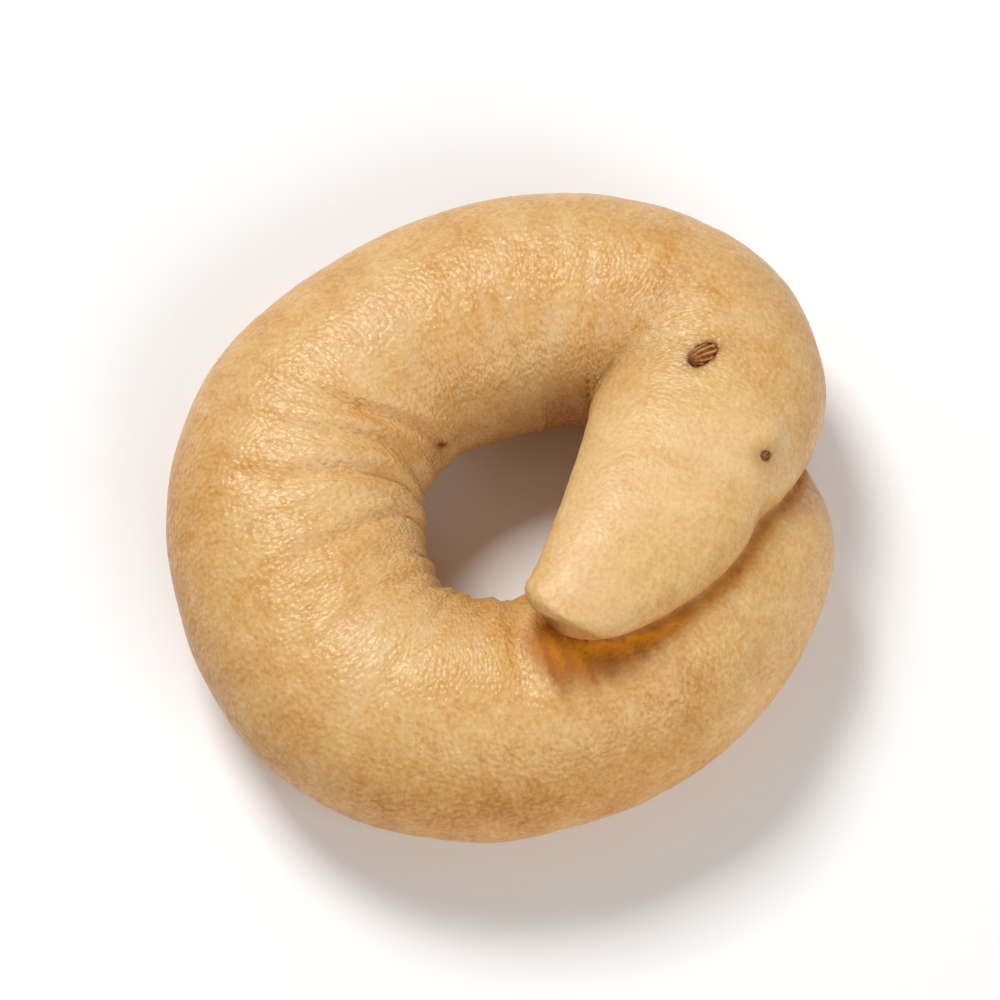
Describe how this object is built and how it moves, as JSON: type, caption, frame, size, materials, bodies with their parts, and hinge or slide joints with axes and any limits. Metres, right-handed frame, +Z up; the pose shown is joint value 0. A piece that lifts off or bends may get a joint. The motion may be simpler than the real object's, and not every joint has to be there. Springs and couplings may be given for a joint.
{
  "type": "tarallo",
  "caption": "Ring-shaped dry bread with fennel seeds: one roll of dough whose end climbs over its start and ends in a flat tongue across the hole.",
  "frame": {"origin": "on the flat foot's plane, under the middle of the tarallo's bounding box", "axes": "+Z up out of the foot, through the ring's hole; -Y the side that the tongue points to; +X the side where the ends cross"},
  "size_m": [0.0574, 0.0588, 0.0237],
  "materials": {
    "dough_skin": "satin",
    "seed_husk": "matte"
  },
  "bodies": {
    "root": {"dough_ring": "dough_skin", "fennel_seed_1": "seed_husk", "fennel_seed_2": "seed_husk", "fennel_seed_3": "seed_husk", "fennel_seed_4": "seed_husk", "fennel_seed_5": "seed_husk", "fennel_seed_6": "seed_husk"}
  },
  "joints": []
}
